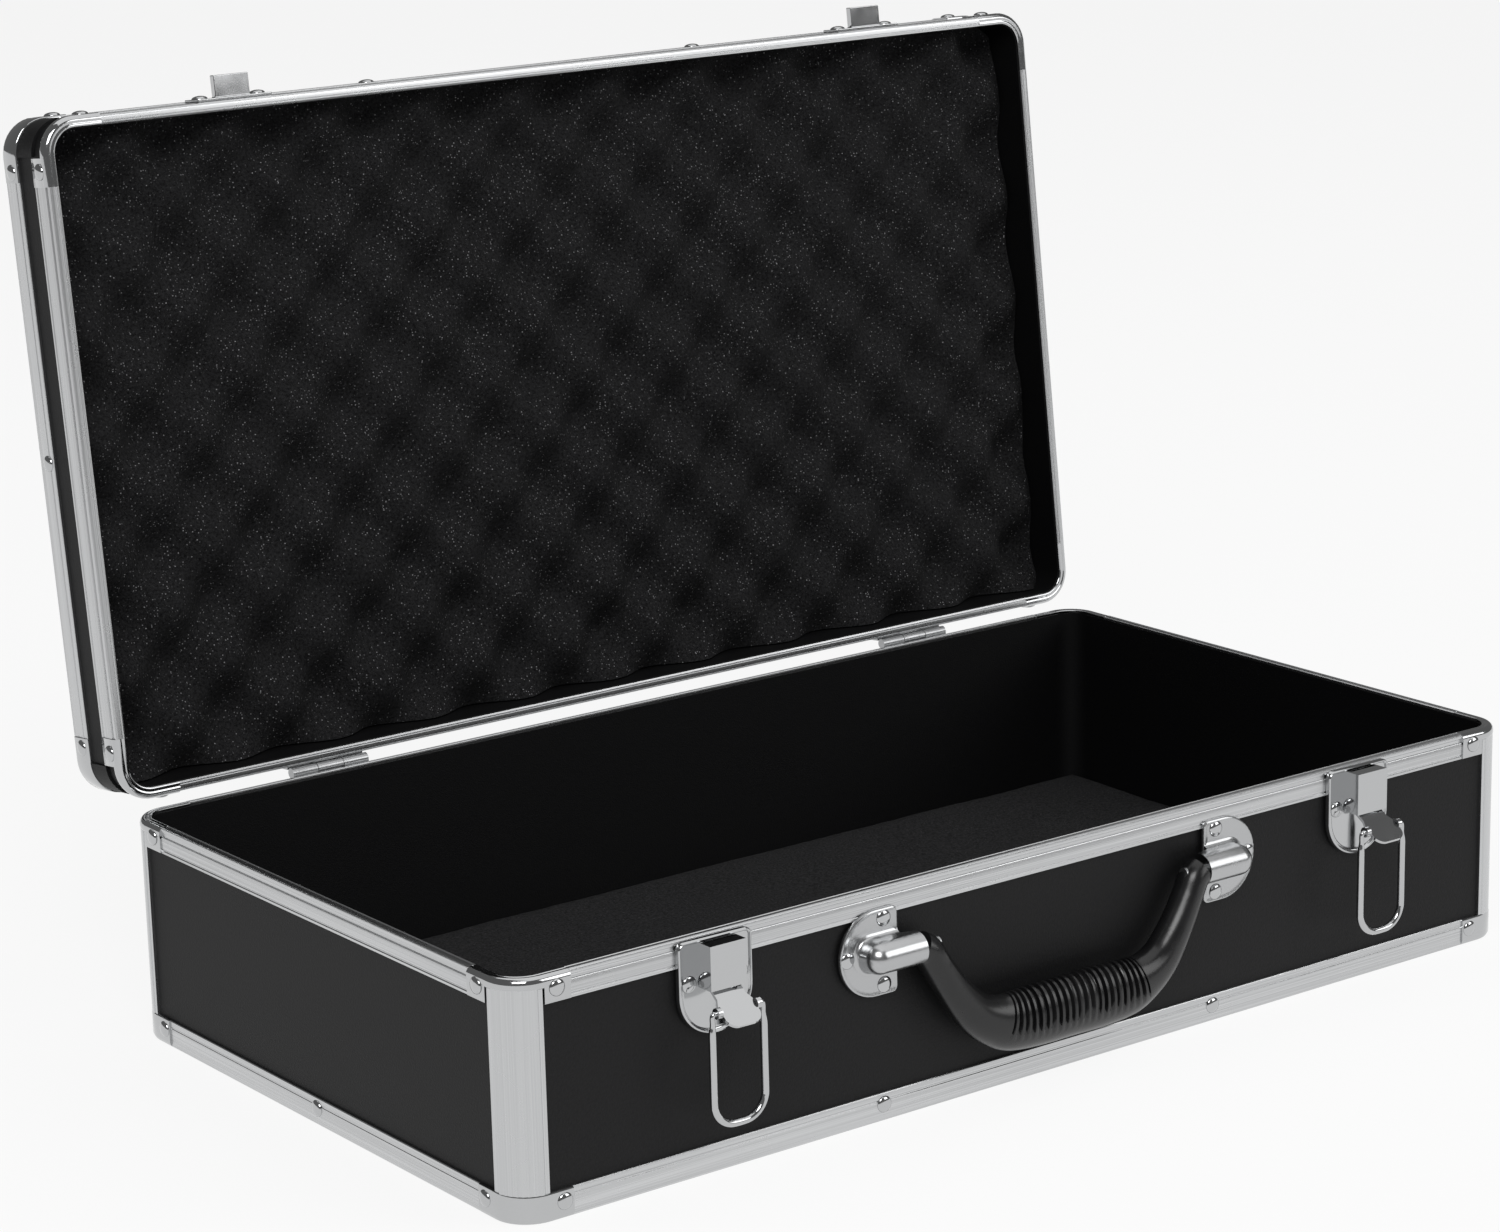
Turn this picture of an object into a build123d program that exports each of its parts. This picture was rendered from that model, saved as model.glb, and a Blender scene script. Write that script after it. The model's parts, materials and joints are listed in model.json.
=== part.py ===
from build123d import *
import os
from math import cos, sin, radians

os.makedirs("parts", exist_ok=True)

# Aluminium framed tool case with a hinged lid, shown open.
# The pieces are drawn about the middle of the footprint, X along the front, Y to the back, Z up.
# They are saved about the middle of the front foot angle's underside, which the case stands on.

# Case body
case_length = 500.0
case_depth = 271.2
base_height = 92.2
lid_height = 36.8
corner_radius = 14.1
board = 3.0
trim = 1.2
lip_depth = 4.2
base_rim_height = 10.5
lid_rim_height = 12.0
foot_angle_height = 11.2
top_angle_height = 11.9
angle_shelf = 10.0
seam_gap = 0.65
cap_proud = 0.6
cap_leg = 24.0
rim_corner_leg = 26.0
post_wall = 1.6

# Rivets
rivet_radius = 2.9
rivet_height = 1.3
foot_rivet_x = 84.0
corner_rivet_inset = 20.0
rivet_taper = 38.0
angle_rivet_share = 0.6

# Foam
floor_foam = 10.0
lid_foam = 24.0
foam_gap = 0.6

# Lid hinges
hinge_centre = 155.0
hinge_width = 36.0
hinge_offset = 2.5
hinge_middle_knuckle = 12.0
hinge_leaf = 1.2
hinge_leaf_drop = 20.0
barrel_radius = 2.2
hinge_pin_radius = 1.1
running_gap = 0.05
end_gap = 0.3
lid_open_angle = 96.5

# Latches
latch_centre = 162.0
plate_width = 33.0
plate_bottom = 54.3
plate_thickness = 1.2
plate_top_gap = 0.6
plate_flange_wall = 1.0
plate_flange_height = 2.2
housing_width = 16.0
housing_out = 9.8
housing_bottom = 73.6
housing_top = 90.6
housing_wall = 1.2
housing_slot = 3.4
lever_pivot_out = 4.4
lever_pivot_height = 75.3
lever_pin_radius = 1.25
lever_knuckle_radius = 2.4
lever_thickness = 1.2
lever_root_width = 12.8
lever_width = 19.5
lever_flare_start = 8.0
lever_tip_radius = 4.5
lever_length = 20.5
bail_hole_reach = 13.0
ear_width = 2.0
ear_radius = 2.1
bail_end_radius = 1.0
bail_wire_radius = 1.45
bail_leg_spread = 11.55
bail_length = 43.2
bail_bend_radius = 9.55
bail_neck = 6.0
lever_left_angle = 39.0
lever_right_angle = 33.0
latch_rivet_across = 11.6
latch_rivet_height = 75.0

# Keepers on the lid
keeper_width = 16.0
keeper_out = 10.0
keeper_wall = 1.2
keeper_low = 4.3
keeper_high = 9.3
keeper_corner = 3.0
keeper_plate_width = 34.0
keeper_plate_low = 2.6
keeper_plate_high = 13.6
keeper_rivet_across = 13.2

# Handle
handle_axis_height = 67.6
handle_axis_out = 6.2
bracket_outer = 104.8
bracket_inner = 77.5
bracket_radius = 17.0
bracket_thickness = 1.2
tube_radius = 6.25
tube_inner = 71.5
tube_outer = 91.5
handle_pin_radius = 2.5
handle_pin_depth = 12.0
handle_pin_seat = 9.0
bracket_rivet_along = 84.0
bracket_rivet_across = 13.0
bracket_end_rivet = 101.3
grip_leg_radius = 6.0
eye_radius = 6.6
eye_length = 13.0
grip_shoulder = 61.2
grip_drop = 38.4
grip_out = 3.4
grip_half_flat = 34.0
grip_half_height = 12.4
grip_knee_half_height = 8.4
grip_half_depth = 8.0
grip_knee = 52.6
grip_shoulder_drop = 13.8
grip_knee_drop = 26.4
grip_swell = 0.8
rib_count = 21
rib_span = 66.0
rib_width = 1.7
rib_height = 1.0

SIDES = ("front", "rear", "left", "right")
half_length = case_length / 2
half_depth = case_depth / 2
lid_bottom = base_height + seam_gap
lid_top = lid_bottom + lid_height
hinge_line = Axis((0, half_depth + hinge_offset, lid_bottom), (1, 0, 0))


def save(part, name):
    """Moves one finished piece to the saved origin, and writes it under its own name."""
    placed = part.moved(Location((0, half_depth - angle_shelf / 2, 0)))
    placed.label = name
    export_step(placed, f"parts/{name}.step")


def save_on_lid(part, name):
    """Turns a piece made on the closed lid to the open lid's place, and writes it."""
    save(part.rotate(hinge_line, -lid_open_angle), name)


# Shared shapes

def plan_ring(outer, inner):
    """Draws a band round the case in plan, between two insets from its edge."""
    RectangleRounded(case_length - 2 * outer, case_depth - 2 * outer, corner_radius - outer)
    RectangleRounded(
        case_length - 2 * inner, case_depth - 2 * inner, corner_radius - inner, mode=Mode.SUBTRACT
    )


def corner_band(low, high, outer, inner, leg):
    """Adds the band's four corners: what is left of it beyond a leg along each side."""
    with BuildSketch(Plane.XY.offset(low)) as band:
        plan_ring(outer, inner)
        Rectangle(case_length - 2 * leg, 2 * case_depth, mode=Mode.SUBTRACT)
        Rectangle(2 * case_length, case_depth - 2 * leg, mode=Mode.SUBTRACT)
    extrude(band.sketch, amount=high - low)


def rounded_board(low, high, inset):
    """A flat board or pad that follows the case's outline."""
    with BuildPart() as flat:
        with BuildSketch(Plane.XY.offset(low)):
            RectangleRounded(case_length - 2 * inset, case_depth - 2 * inset, corner_radius - inset)
        extrude(amount=high - low)
    return flat.part


def corner_shells(low, high, shelf_low, leg, shelf_depth):
    """Four rounded corner pieces that stand a little proud, each with an inward shelf."""
    with BuildPart() as shells:
        corner_band(low, high, -cap_proud, trim, leg)
        corner_band(shelf_low, shelf_low + trim, trim, shelf_depth, leg)
    return shells.part


def side_bar(side, leg, low, high, near, far):
    """Adds a straight bar along one side, between two heights and two insets from the edge."""
    inset = (near + far) / 2
    middle = (low + high) / 2
    if side in ("front", "rear"):
        y = half_depth - inset if side == "rear" else inset - half_depth
        with Locations((0, y, middle)):
            Box(case_length - 2 * leg, far - near, high - low)
    else:
        x = half_length - inset if side == "right" else inset - half_length
        with Locations((x, 0, middle)):
            Box(far - near, case_depth - 2 * leg, high - low)


def wall_board(side, low, high):
    """One upright wall board between two corner posts."""
    with BuildPart() as wall:
        side_bar(side, corner_radius, low, high, trim, trim + board)
    return wall.part


def edge_section(side, leg, low, high, shelf_low, shelf_depth):
    """An edge extrusion: an outer leg with an inward shelf at one height."""
    with BuildPart() as edge:
        side_bar(side, leg, low, high, 0, trim)
        side_bar(side, leg, shelf_low, shelf_low + trim, trim, shelf_depth)
    return edge.part


def facing(side, along, up, out=0.0):
    """A plane on one side of the case, facing outwards, out from its edge."""
    planes = {
        "front": ((along, -half_depth - out, up), (1, 0, 0), (0, -1, 0)),
        "rear": ((along, half_depth + out, up), (-1, 0, 0), (0, 1, 0)),
        "left": ((-half_length - out, along, up), (0, -1, 0), (-1, 0, 0)),
        "right": ((half_length + out, along, up), (0, 1, 0), (1, 0, 0)),
    }
    origin, along_side, outwards = planes[side]
    return Plane(origin, x_dir=along_side, z_dir=outwards)


def rivet_heads(places):
    """Domed rivet heads, each on its own plane."""
    with BuildPart() as heads:
        for place in places:
            with BuildSketch(place):
                Circle(rivet_radius)
            extrude(amount=rivet_height, taper=rivet_taper)
    return heads.part


def edge_rivets(angle_middle, rim_middle):
    """The places of the rivets along an edge angle and at the rim and angle corners."""
    places = []
    spans = {"front": half_length, "rear": half_length, "left": half_depth, "right": half_depth}
    for side, span in spans.items():
        alongs = (-foot_rivet_x, foot_rivet_x) if span == half_length else (0,)
        places += [facing(side, along, angle_middle) for along in alongs]
        for end in (corner_rivet_inset - span, span - corner_rivet_inset):
            places += [facing(side, end, up, cap_proud) for up in (angle_middle, rim_middle)]
    return places


def rod(start, end, out, up, radius, mode=Mode.ADD):
    """Adds a round bar along X between two places, at a distance out from the front."""
    with BuildSketch(Plane((start, -half_depth - out, up), z_dir=(1, 0, 0))) as section:
        Circle(radius)
    extrude(section.sketch, amount=end - start, mode=mode)


def block(start, end, near, far, low, high, mode=Mode.ADD):
    """Adds a block between two places along X, two distances out and two heights."""
    with Locations(((start + end) / 2, -half_depth - (near + far) / 2, (low + high) / 2)):
        Box(end - start, far - near, high - low, mode=mode)


# Base

def base_box():
    """Boards, corner posts, floor foam and edge trim of the base."""
    board_top = trim + board
    under_rim = base_height - trim
    rim_low = base_height - base_rim_height
    save(rounded_board(trim, board_top, trim), "base_floor_panel")
    save(
        rounded_board(board_top, board_top + floor_foam, trim + board + foam_gap),
        "base_floor_foam",
    )
    for side in SIDES:
        save(wall_board(side, board_top, under_rim), f"base_{side}_panel")
        rim = edge_section(side, rim_corner_leg, rim_low, base_height, under_rim, lip_depth)
        save(rim, f"base_{side}_rim")
        foot = edge_section(side, cap_leg, 0, foot_angle_height, 0, angle_shelf)
        save(foot, f"base_{side}_foot_angle")
    with BuildPart() as posts:
        corner_band(board_top, under_rim, trim, trim + post_wall, corner_radius)
        corner_band(foot_angle_height, rim_low, 0, trim, corner_radius)
    save(posts.part, "base_corner_posts")
    save(corner_shells(rim_low, base_height, under_rim, rim_corner_leg, lip_depth), "base_rim_corners")
    save(corner_shells(0, foot_angle_height, 0, cap_leg, angle_shelf), "base_foot_caps")
    places = edge_rivets(foot_angle_height * angle_rivet_share, base_height - base_rim_height / 2)
    for middle in (-latch_centre, latch_centre):
        for shift in (-latch_rivet_across, latch_rivet_across):
            places.append(facing("front", middle + shift, latch_rivet_height, plate_thickness))
    for end in (-1, 1):
        for lift in (-bracket_rivet_across, bracket_rivet_across):
            height = handle_axis_height + lift
            places.append(facing("front", end * bracket_rivet_along, height, bracket_thickness))
        place = facing("front", end * bracket_end_rivet, handle_axis_height, bracket_thickness)
        places.append(place)
    save(rivet_heads(places), "base_rivets")


# Lid, made closed and then turned open

def lid_box():
    """Boards, corner posts, foam and edge trim of the lid."""
    under_top = lid_top - trim
    board_low = under_top - board
    wall_low = lid_bottom + trim
    rim_high = lid_bottom + lid_rim_height
    angle_low = lid_top - top_angle_height
    save_on_lid(rounded_board(board_low, under_top, trim), "lid_top_panel")
    pad = rounded_board(board_low - lid_foam, board_low, trim + board + foam_gap)
    save_on_lid(pad, "lid_foam")
    for side in SIDES:
        save_on_lid(wall_board(side, wall_low, board_low), f"lid_{side}_panel")
        rim = edge_section(side, rim_corner_leg, lid_bottom, rim_high, lid_bottom, lip_depth)
        save_on_lid(rim, f"lid_{side}_rim")
        angle = edge_section(side, cap_leg, angle_low, lid_top, under_top, angle_shelf)
        save_on_lid(angle, f"lid_{side}_top_angle")
    with BuildPart() as posts:
        corner_band(wall_low, board_low, trim, trim + post_wall, corner_radius)
        corner_band(rim_high, angle_low, 0, trim, corner_radius)
    save_on_lid(posts.part, "lid_corner_posts")
    rims = corner_shells(lid_bottom, rim_high, lid_bottom, rim_corner_leg, lip_depth)
    save_on_lid(rims, "lid_rim_corners")
    caps = corner_shells(angle_low, lid_top, under_top, cap_leg, angle_shelf)
    save_on_lid(caps, "lid_top_caps")
    places = edge_rivets(lid_top - top_angle_height * angle_rivet_share, (lid_bottom + rim_high) / 2)
    rivet_height_on_keeper = lid_bottom + (keeper_plate_low + keeper_plate_high) / 2
    for middle in (-latch_centre, latch_centre):
        for shift in (-keeper_rivet_across, keeper_rivet_across):
            place = facing("front", middle + shift, rivet_height_on_keeper, keeper_wall)
            places.append(place)
    save_on_lid(rivet_heads(places), "lid_rivets")


# Hinges

def hinge_leaf_plate(middle, low, high, knuckles, bore):
    """A leaf on the rear face: a plate with knuckles that reach the hinge line."""
    nearest = min((low, high), key=lambda height: abs(height - lid_bottom))
    rear = half_depth + hinge_leaf
    with BuildPart() as leaf:
        with Locations((middle, half_depth + hinge_leaf / 2, (low + high) / 2)):
            Box(hinge_width, hinge_leaf, high - low)
        for start, end in knuckles:
            rod(middle + start, middle + end, -case_depth - hinge_offset, lid_bottom, barrel_radius)
            front = half_depth + hinge_offset - barrel_radius
            with Locations(((start + end) / 2 + middle, (front + rear) / 2, (nearest + lid_bottom) / 2)):
                Box(end - start, rear - front, abs(nearest - lid_bottom))
        half = hinge_width / 2
        rod(
            middle - half, middle + half, -case_depth - hinge_offset, lid_bottom, bore,
            mode=Mode.SUBTRACT,
        )
    return leaf.part


def hinges():
    """Two butt hinges on the rear face, with their pins held in the base leaves."""
    half = hinge_width / 2
    inner = hinge_middle_knuckle / 2
    plate_gap = barrel_radius + end_gap
    outer_knuckles = ((-half, -inner - end_gap), (inner + end_gap, half))
    for name, middle in (("left", -hinge_centre), ("right", hinge_centre)):
        low = lid_bottom - hinge_leaf_drop
        leaf = hinge_leaf_plate(
            middle, low, lid_bottom - plate_gap, outer_knuckles, hinge_pin_radius
        )
        save(leaf, f"hinge_base_leaf_{name}")
        high = lid_bottom + hinge_leaf_drop
        leaf = hinge_leaf_plate(
            middle, lid_bottom + plate_gap, high, ((-inner, inner),),
            hinge_pin_radius + running_gap,
        )
        save_on_lid(leaf, f"hinge_lid_leaf_{name}")
    with BuildPart() as pins:
        for middle in (-hinge_centre, hinge_centre):
            rod(
                middle - half, middle + half, -case_depth - hinge_offset, lid_bottom,
                hinge_pin_radius,
            )
    save(pins.part, "hinge_pins")


# Latches

def latch_plate(middle):
    """The tombstone base plate with its two raised side edges."""
    plate_top = base_height - plate_top_gap
    round_radius = plate_width / 2
    round_height = plate_bottom + round_radius
    panel_top = base_height - base_rim_height
    with BuildPart() as plate:
        for top, near, far in ((plate_top, 0, plate_thickness), (panel_top, -trim, 0)):
            with BuildSketch(facing("front", middle, 0, near)):
                with Locations((0, (top + round_height) / 2)):
                    Rectangle(plate_width, top - round_height)
                with Locations((0, round_height)):
                    Circle(round_radius)
                with Locations((0, top + plate_width)):
                    Rectangle(2 * plate_width, 2 * plate_width, mode=Mode.SUBTRACT)
            extrude(amount=far - near)
        for end in (-1, 1):
            outer = middle + end * round_radius
            inner = outer - end * plate_flange_wall
            block(
                min(outer, inner), max(outer, inner), plate_thickness,
                plate_thickness + plate_flange_height, round_height, plate_top,
            )
    return plate.part


def latch_housing(middle):
    """The box over the lever's pivot: open below, with a slot in its top."""
    half = housing_width / 2
    inner = half - housing_wall
    with BuildPart() as box:
        block(
            middle - half, middle + half, plate_thickness, housing_out,
            housing_bottom, housing_top,
        )
        block(
            middle - inner, middle + inner, plate_thickness, housing_out - housing_wall,
            housing_bottom, housing_top - housing_wall, mode=Mode.SUBTRACT,
        )
        block(
            middle - inner, middle + inner, plate_thickness, plate_thickness + housing_slot,
            housing_bottom, housing_top, mode=Mode.SUBTRACT,
        )
        rod(
            middle - half, middle + half, lever_pivot_out, lever_pivot_height,
            lever_pin_radius, mode=Mode.SUBTRACT,
        )
    return box.part


def latch_lever(middle, angle):
    """The lever: a knuckle on its pin, an arm that flares to a tab, and two ears."""
    pivot = (middle, -half_depth - lever_pivot_out, lever_pivot_height)
    along = (0, -cos(radians(angle)), -sin(radians(angle)))
    flat = Plane(pivot, x_dir=along, z_dir=(0, -sin(radians(angle)), cos(radians(angle))))
    half_root = lever_root_width / 2
    half_tab = lever_width / 2 - ear_width
    out = lever_pivot_out + bail_hole_reach * cos(radians(angle))
    up = lever_pivot_height - bail_hole_reach * sin(radians(angle))
    half_ears = lever_width / 2
    with BuildPart() as lever:
        with BuildSketch(flat.offset(-lever_thickness / 2)):
            with BuildLine():
                Polyline(
                    (0, -half_root),
                    (lever_flare_start, -half_root),
                    (bail_hole_reach - ear_radius, -half_tab),
                    (bail_hole_reach + ear_radius, -half_tab),
                    (lever_length, -half_tab),
                    (lever_length, half_tab),
                    (bail_hole_reach + ear_radius, half_tab),
                    (bail_hole_reach - ear_radius, half_tab),
                    (lever_flare_start, half_root),
                    (0, half_root),
                    close=True,
                )
            make_face()
        extrude(amount=lever_thickness)
        tips = lever.edges().filter_by(Axis((0, 0, 0), flat.z_dir)).group_by(Axis((0, 0, 0), along))[-1]
        fillet(tips, lever_tip_radius)
        rod(
            middle - half_root, middle + half_root, lever_pivot_out, lever_pivot_height,
            lever_knuckle_radius,
        )
        for start in (-half_ears, half_tab):
            rod(middle + start, middle + start + ear_width, out, up, ear_radius)
        rod(
            middle - half_root, middle + half_root, lever_pivot_out, lever_pivot_height,
            lever_pin_radius + running_gap, mode=Mode.SUBTRACT,
        )
        for start in (-half_ears, half_tab):
            rod(
                middle + start, middle + start + ear_width, out, up,
                bail_end_radius + running_gap, mode=Mode.SUBTRACT,
            )
    return lever.part


def latch_bail(middle, angle):
    """The wire bail, hanging from the lever's ears by its two turned-in ends."""
    out = lever_pivot_out + bail_hole_reach * cos(radians(angle))
    up = lever_pivot_height - bail_hole_reach * sin(radians(angle))
    y = -half_depth - out
    neck_end = up - bail_neck
    bend_height = up - bail_length + bail_bend_radius
    flat_half = bail_leg_spread - bail_bend_radius
    in_end = lever_width / 2 - ear_width + end_gap
    with BuildPart() as bail:
        with BuildSketch(Plane.XY.offset(neck_end)):
            with Locations((middle - bail_leg_spread, y), (middle + bail_leg_spread, y)):
                Circle(bail_end_radius)
        extrude(amount=bail_neck)
        with BuildSketch(Plane.XY.offset(bend_height)):
            with Locations((middle - bail_leg_spread, y), (middle + bail_leg_spread, y)):
                Circle(bail_wire_radius)
        extrude(amount=neck_end - bend_height)
        for end in (-1, 1):
            with BuildSketch(Plane.XY.offset(bend_height)):
                with Locations((middle + end * bail_leg_spread, y)):
                    Circle(bail_wire_radius)
            bend = Axis((middle + end * flat_half, y, bend_height), (0, end, 0))
            revolve(axis=bend, revolution_arc=90)
            rod(
                middle + min(end * in_end, end * bail_leg_spread),
                middle + max(end * in_end, end * bail_leg_spread),
                out, up, bail_end_radius,
            )
            with Locations((middle + end * bail_leg_spread, y, up)):
                Sphere(bail_end_radius)
        rod(middle - flat_half, middle + flat_half, out, up - bail_length, bail_wire_radius)
    return bail.part


def keeper(middle):
    """The lid's keeper: a riveted plate with a box-shaped hook bent out of it."""
    half = keeper_width / 2
    inner = half - keeper_wall
    low = lid_bottom + keeper_low
    high = lid_bottom + keeper_high
    with BuildPart() as hook:
        block(middle - half, middle + half, keeper_wall, keeper_out, low, high)
        corners = hook.edges().filter_by(Axis.Y).group_by(Axis.Z)[-1]
        fillet(corners, keeper_corner)
        block(
            middle - inner, middle + inner, keeper_wall, keeper_out - keeper_wall,
            low + keeper_wall, high - keeper_wall, mode=Mode.SUBTRACT,
        )
        block(
            middle - keeper_plate_width / 2, middle + keeper_plate_width / 2, 0, keeper_wall,
            lid_bottom + keeper_plate_low, lid_bottom + keeper_plate_high,
        )
    return hook.part


def latches():
    """Both latches, and the keepers that they pull on."""
    with BuildPart() as pins:
        for middle in (-latch_centre, latch_centre):
            rod(
                middle - housing_width / 2, middle + housing_width / 2,
                lever_pivot_out, lever_pivot_height, lever_pin_radius,
            )
    save(pins.part, "latch_pivot_pins")
    sides = (("left", -latch_centre, lever_left_angle), ("right", latch_centre, lever_right_angle))
    for name, middle, angle in sides:
        save(latch_plate(middle), f"latch_plate_{name}")
        save(latch_housing(middle), f"latch_housing_{name}")
        save(latch_lever(middle, angle), f"latch_lever_{name}")
        save(latch_bail(middle, angle), f"latch_bail_{name}")
        save_on_lid(keeper(middle), f"lid_keeper_{name}")


# Handle

def handle_bracket(end):
    """One D-shaped bracket with the half-round tube that holds the handle's pin."""
    panel_top = base_height - base_rim_height
    inner = min(end * bracket_inner, end * (bracket_outer - bracket_radius))
    width = bracket_outer - bracket_radius - bracket_inner
    round_middle = end * (bracket_outer - bracket_radius)
    with BuildPart() as bracket:
        for near, far in ((0, bracket_thickness), (-trim, 0)):
            with BuildSketch(facing("front", 0, 0, near)):
                with Locations((inner + width / 2, handle_axis_height)):
                    Rectangle(width, 2 * bracket_radius)
                with Locations((round_middle, handle_axis_height)):
                    Circle(bracket_radius)
                with Locations((0, handle_axis_height)):
                    Rectangle(2 * bracket_inner, 4 * bracket_radius, mode=Mode.SUBTRACT)
                if near < 0:
                    with Locations((round_middle, panel_top + bracket_radius)):
                        Rectangle(4 * bracket_radius, 2 * bracket_radius, mode=Mode.SUBTRACT)
            extrude(amount=far - near)
        start, stop = sorted((end * tube_inner, end * tube_outer))
        rod(start, stop, handle_axis_out, handle_axis_height, tube_radius)
        with Locations((end * tube_outer, -half_depth - handle_axis_out, handle_axis_height)):
            Sphere(tube_radius)
        block(
            start - tube_radius, stop + tube_radius, -2 * tube_radius, 0,
            handle_axis_height - tube_radius, handle_axis_height + tube_radius,
            mode=Mode.SUBTRACT,
        )
        start, stop = sorted((end * tube_inner, end * (tube_inner + handle_pin_depth)))
        rod(
            start, stop, handle_axis_out, handle_axis_height,
            handle_pin_radius + running_gap, mode=Mode.SUBTRACT,
        )
    return bracket.part


def handle_grip():
    """The moulded grip: two legs that run down from their eyes into a flat, ribbed hand bar."""
    axis_y = -half_depth - handle_axis_out
    bar_y = axis_y - grip_out
    bar_z = handle_axis_height - grip_drop
    eye_end = tube_inner - end_gap
    half_path = (
        (eye_end - eye_length / 2, 0.0, grip_leg_radius, grip_leg_radius),
        (grip_shoulder, grip_shoulder_drop, grip_leg_radius + grip_swell, grip_leg_radius + grip_swell),
        (grip_knee, grip_knee_drop, grip_half_depth - grip_swell, grip_knee_half_height),
        (grip_half_flat, grip_drop, grip_half_depth, grip_half_height),
    )
    left = [(-x, drop, deep, high) for x, drop, deep, high in half_path]
    stations = left + list(half_path[::-1])
    places = [
        Vector(x, axis_y - grip_out * drop / grip_drop, handle_axis_height - drop)
        for x, drop, deep, high in stations
    ]
    with BuildPart() as grip:
        for number, (place, station) in enumerate(zip(places, stations)):
            before = places[max(number - 1, 0)]
            after = places[min(number + 1, len(places) - 1)]
            with BuildSketch(Plane(place, x_dir=(0, 1, 0), z_dir=after - before)):
                Ellipse(station[2], station[3])
        loft(ruled=True)
        for start in (-eye_end, eye_end - eye_length):
            rod(start, start + eye_length, handle_axis_out, handle_axis_height, eye_radius)
        for number in range(rib_count):
            middle = (number / (rib_count - 1) - 0.5) * rib_span
            plane = Plane(
                (middle - rib_width / 2, bar_y, bar_z), x_dir=(0, 1, 0), z_dir=(1, 0, 0)
            )
            with BuildSketch(plane):
                Ellipse(grip_half_depth + rib_height, grip_half_height + rib_height)
            extrude(amount=rib_width)
        seat = eye_end - handle_pin_seat
        for start, stop in ((-eye_end, -seat), (seat, eye_end)):
            rod(
                start, stop, handle_axis_out, handle_axis_height, handle_pin_radius,
                mode=Mode.SUBTRACT,
            )
    return grip.part


def handle():
    """The carrying handle with its two brackets and pins."""
    save(handle_bracket(-1), "handle_bracket_left")
    save(handle_bracket(1), "handle_bracket_right")
    save(handle_grip(), "handle_grip")
    seat = tube_inner - end_gap - handle_pin_seat
    far = tube_inner + handle_pin_depth - 2 * end_gap
    with BuildPart() as pins:
        for start, stop in ((-far, -seat), (seat, far)):
            rod(start, stop, handle_axis_out, handle_axis_height, handle_pin_radius)
    save(pins.part, "handle_pins")


base_box()
lid_box()
hinges()
latches()
handle()
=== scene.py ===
import json
from math import cos, pi, radians, sin

import bmesh
import bpy
from mathutils import Matrix, Vector, noise


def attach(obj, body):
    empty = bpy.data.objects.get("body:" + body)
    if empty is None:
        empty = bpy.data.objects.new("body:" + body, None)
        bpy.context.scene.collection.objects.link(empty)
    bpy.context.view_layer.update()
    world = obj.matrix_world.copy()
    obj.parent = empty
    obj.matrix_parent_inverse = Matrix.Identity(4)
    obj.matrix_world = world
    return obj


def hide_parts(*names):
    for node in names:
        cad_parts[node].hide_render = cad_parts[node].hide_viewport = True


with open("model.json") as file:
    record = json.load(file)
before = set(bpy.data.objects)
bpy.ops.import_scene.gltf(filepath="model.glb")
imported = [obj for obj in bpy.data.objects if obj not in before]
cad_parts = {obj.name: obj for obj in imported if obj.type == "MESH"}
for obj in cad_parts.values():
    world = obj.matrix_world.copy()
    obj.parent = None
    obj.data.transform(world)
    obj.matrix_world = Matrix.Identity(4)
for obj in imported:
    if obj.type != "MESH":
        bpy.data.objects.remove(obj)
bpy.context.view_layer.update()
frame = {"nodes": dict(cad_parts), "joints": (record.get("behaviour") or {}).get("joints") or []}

# Sizes of the case, in millimetres
MM = 0.001
length = 500.0
depth = 271.2
base_height = 92.2
lid_height = 36.8
seam_gap = 0.65
corner_radius = 14.1
board = 3.0
trim = 1.2
lip_depth = 4.2
angle_shelf = 10.0
base_rim_height = 10.5
lid_rim_height = 12.0
foot_height = 11.2
top_angle_height = 11.9
rim_corner_leg = 26.0
ridge_height = 4.6
cap_leg = 24.0
cap_proud = 0.6
flange_start = corner_radius + 0.6
half_length = length / 2
half_depth = depth / 2
lid_bottom = base_height + seam_gap
lid_top = lid_bottom + lid_height
latch_centre = 162.0
handle_axis_height = 67.6
plate_thickness = 1.2
post_thickness = 1.4
lining_thickness = 0.4
lid_foam_depth = 24.0
floor_foam = 10.0
SIDES = ("front", "rear", "left", "right")

# Meshing: vertices nearer than the weld gap are joined, and edges sharper than the angle stay
weld_gap = 0.01
sharp_angle = radians(34)

# Pieces are drawn in millimetres about the middle of the footprint, the lid closed. These two
# turns take them to the saved frame, whose origin is under the front foot angle, lid open.
saved_origin = Vector((0, half_depth - angle_shelf / 2, 0)) * MM
straight = Matrix.Translation(saved_origin)
lid_hinge = next(joint for joint in frame["joints"] if joint["name"] == "lid_hinge")
hinge_place = Vector(lid_hinge["pos_m"])
lid_lean = radians(96.5)
open_lid = (
    Matrix.Translation(hinge_place)
    @ Matrix.Rotation(-lid_lean, 4, "X")
    @ Matrix.Translation(-hinge_place)
    @ straight
)


# Materials. Pattern scales are in repeats per metre

def linear(hex_colour):
    """Turns an sRGB hex colour into the shader's linear values."""
    channels = [int(hex_colour[i:i + 2], 16) / 255 for i in (0, 2, 4)]
    values = [c / 12.92 if c <= 0.04045 else ((c + 0.055) / 1.055) ** 2.4 for c in channels]
    return (*values, 1.0)


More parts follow.
